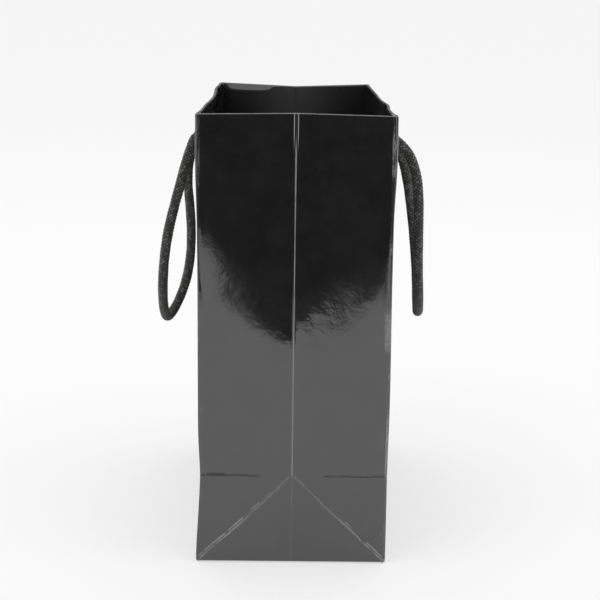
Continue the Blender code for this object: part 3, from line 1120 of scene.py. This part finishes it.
# ---- rope ----------------------------------------------------------------
def curve_through(points, spacing):
    """Evenly spaced points on a Catmull-Rom curve, numpy, millimetres."""
    p = np.array(points, float)
    ends = np.vstack([2 * p[0] - p[1], p, 2 * p[-1] - p[-2]])
    dense = []
    steps = np.linspace(0, 1, 40, endpoint=False)[:, None]
    for i in range(1, len(ends) - 2):
        a, b, c, d = ends[i - 1], ends[i], ends[i + 1], ends[i + 2]
        dense.append(
            (2 * b + (c - a) * steps + (2 * a - 5 * b + 4 * c - d) * steps**2
             + (3 * b - a - 3 * c + d) * steps**3) / 2
        )
    dense = np.vstack(dense + [p[-1:]])
    run = np.concatenate([[0], np.cumsum(np.linalg.norm(np.diff(dense, axis=0), axis=1))])
    count = max(4, int(round(run[-1] / spacing)))
    want = np.linspace(0, run[-1], count + 1)
    return np.stack([np.interp(want, run, dense[:, k]) for k in range(3)], axis=1), run[-1]


def frames_along(path):
    """A normal and a binormal at each point, turning as little as they can."""
    tangent = np.gradient(path, axis=0)
    tangent /= np.linalg.norm(tangent, axis=1)[:, None]
    normal = np.empty_like(path)
    seed = np.array((0.0, 0.0, 1.0)) if abs(tangent[0][2]) < 0.9 else np.array((0.0, 1.0, 0.0))
    normal[0] = seed - tangent[0] * (seed @ tangent[0])
    normal[0] /= np.linalg.norm(normal[0])
    for i in range(1, len(path)):
        v = normal[i - 1] - tangent[i] * (normal[i - 1] @ tangent[i])
        normal[i] = v / np.linalg.norm(v)
    return tangent, normal, np.cross(tangent, normal)


STRANDS = 8  # yarns each way round the braid
LAY = 2.75  # length of one crossing, mm


def braided_tube(name, path, radius, around=56, seed=1, closed_ends=True, radii=None):
    """A braided rope along a path: yarns cross over and under each other."""
    rng = np.random.default_rng(seed)
    tangent, normal, binormal = frames_along(path)
    run = np.concatenate([[0], np.cumsum(np.linalg.norm(np.diff(path, axis=0), axis=1))])
    theta = np.arange(around) * 2 * math.pi / around
    s, th = np.meshgrid(run, theta, indexing="ij")
    wander = 0.10 * np.sin(s * 0.21 + seed) + 0.06 * np.sin(s * 0.53 + 2 * th)
    a = STRANDS * th / (2 * math.pi) + s / LAY + wander
    b = STRANDS * th / (2 * math.pi) - s / LAY + wander
    ia, ib = np.floor(a).astype(int), np.floor(b).astype(int)
    fa, fb = a - ia, b - ib
    over = (ia + ib) % 2 == 0
    across = np.where(over, fa, fb)  # across the yarn on top here
    along = np.where(over, fb, fa)
    crown = np.sin(np.pi * across) ** 0.75 * (0.45 + 0.55 * np.sin(np.pi * along) ** 0.8)
    # twist lines in each yarn, and a tone of its own for each crossing
    ply = 0.5 + 0.5 * np.cos(2 * np.pi * (2.5 * along + 1.5 * across))
    table = rng.uniform(0, 1, (64, 64))
    lead = np.where(over, ia, ib) % 64
    tone = table[lead, np.where(over, ib, ia) % 64]
    bulk = 1 + 0.018 * np.sin(run * 0.13 + seed) + 0.012 * np.sin(run * 0.37 + 2 * seed)
    size = (radius if radii is None else np.asarray(radii))
    body = (size * bulk)[:, None] if radii is not None else (radius * bulk)[:, None]
    r = body - 0.32 + 0.62 * crown + 0.035 * ply * crown + 0.06 * (tone - 0.5)
    ring_points = (
        path[:, None, :]
        + r[..., None] * (np.cos(th)[..., None] * normal[:, None, :]
                          + np.sin(th)[..., None] * binormal[:, None, :])
    )
    n = len(path)
    verts = ring_points.reshape(-1, 3)
    faces = []
    for i in range(n - 1):
        base = i * around
        for j in range(around):
            k = (j + 1) % around
            faces.append((base + j, base + k, base + around + k, base + around + j))
    extra, crown_extra = [], []
    if closed_ends:
        for at, sign in ((0, -1), (n - 1, 1)):
            start = at * around
            loop = [start + j for j in range(around)]
            for share, push in ((0.72, 0.55), (0.38, 0.95)):
                centre = path[at] + sign * tangent[at] * size_at(size, at) * 0.42 * push
                new = centre + (ring_points[at] - path[at]) * share
                first = len(verts) + sum(len(x) for x in extra)
                extra.append(new)
                crown_extra += [0.5] * around
                nxt = [first + j for j in range(around)]
                for j in range(around):
                    k = (j + 1) % around
                    face = (loop[j], loop[k], nxt[k], nxt[j])
                    faces.append(face if sign > 0 else face[::-1])
                loop = nxt
            tip = path[at] + sign * tangent[at] * size_at(size, at) * 0.44
            first = len(verts) + sum(len(x) for x in extra)
            extra.append(tip[None, :])
            crown_extra += [0.3]
            for j in range(around):
                k = (j + 1) % around
                face = (loop[j], loop[k], first)
                faces.append(face if sign > 0 else face[::-1])
    if extra:
        verts = np.vstack([verts] + extra)
    obj = mesh_object(name, verts, faces, (YARN,), angle=180.0)
    point_attribute(obj, "crown", np.concatenate([crown.ravel(), crown_extra]))
    point_attribute(obj, "tone", np.concatenate([tone.ravel(), np.full(len(crown_extra), 0.4)]))
    return obj


def size_at(size, at):
    return float(size) if np.ndim(size) == 0 else float(size[at])


def panel_face(side, y, z, offset=0.0):
    """A wide panel's face, as a distance from the middle plane."""
    front, rear = half_widths(z)
    t = (y + DEPTH / 2) / DEPTH
    lift = float(panel_relief(side, np.array([y]), np.array([z]))[0])
    return front + (rear - front) * t - offset + lift


def make_handle(side, route):
    word = "left" if side < 0 else "right"
    lead = []
    for y in (-HOLE_Y, HOLE_Y):
        inner = panel_face(side, y, HOLE_Z, SIDE_HEM)
        lead.append([(inner - 1.6, y, HOLE_Z - 0.25), (inner + 3.2, y, HOLE_Z - 0.1)])
    points = [lead[0][0], lead[0][1], *route, lead[1][1], lead[1][0]]
    points = [(side * x, y, z) for x, y, z in points]
    path, length = curve_through(points, 0.40)
    # full in the open, squeezed a little by the punched holes
    run = np.linspace(0.0, length, len(path))
    squeeze = np.maximum(bell(run - 4.0, 6.0), bell(length - run - 4.0, 6.0))
    radii = ROPE_R + (0.36 if side < 0 else 0.46) - 0.55 * squeeze
    rope = braided_tube(f"rope_{word}", path, ROPE_R, seed=3 if side < 0 else 8, radii=radii)
    coarse, _ = curve_through(points, 4.0)
    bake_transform(rope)
    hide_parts(f"rope_handle_{word}")
    return rope, coarse * MM, length * MM


def make_knot(side, y):
    """An overhand knot drawn up against the hem, with a short tail."""
    word = f"{'left' if side < 0 else 'right'}_{'front' if y < 0 else 'rear'}"
    inner = panel_face(side, y, HOLE_Z, SIDE_HEM)
    away = 1 if y > 0 else -1
    # in the knot's own frame: w away from the panel into the bag, h along y, v up
    t = np.linspace(0.42, 2 * math.pi - 0.42, 40)
    h = 4.1 * (np.sin(t) + 1.25 * np.sin(2 * t)) * 0.72
    v = 4.1 * (np.cos(t) - 1.25 * np.cos(2 * t)) * 0.72
    w = 7.4 - 3.1 * np.sin(3 * t)
    loop = np.column_stack([w, h * away, v - 1.0])
    start = [(-1.2, 0.0, 0.0), (1.6, 0.0, 0.0)]
    finish = [(6.6, -3.0 * away, -7.5), (7.2, -4.0 * away, -14.0), (8.4, -3.4 * away, -21.5)]
    local = np.vstack([start, loop, finish])
    points = [(side * (inner - p[0]), y + p[1], HOLE_Z + p[2]) for p in local]
    path, _ = curve_through(points, 0.55)
    knot = braided_tube(f"knot_{word}", path, 2.9, around=40, seed=int(100 + 3 * side + y))
    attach(knot, "bag")
    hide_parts(f"rope_knot_{word}")
    return knot


# ---- build ---------------------------------------------------------------
make_camera()
make_studio()

knots = {(s, y): make_knot(s, y) for s in (-1, 1) for y in (-HOLE_Y, HOLE_Y)}
for s, route in ((-1, ROUTE_LEFT), (1, ROUTE_RIGHT)):
    rope, path, length = make_handle(s, route)

sheet = make_sheet()
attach(sheet, "bag")
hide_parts("bag_sheet")
for piece in (*make_base_flaps(), make_glue_tab()):
    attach(piece, "bag")
for s, word in ((-1, "left"), (1, "right")):
    card = make_card(s)
    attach(card, "bag")
    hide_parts(f"rim_card_{word}")

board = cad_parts["base_board"]
board.data.materials.clear()
board.data.materials.append(BOARD_FACE)
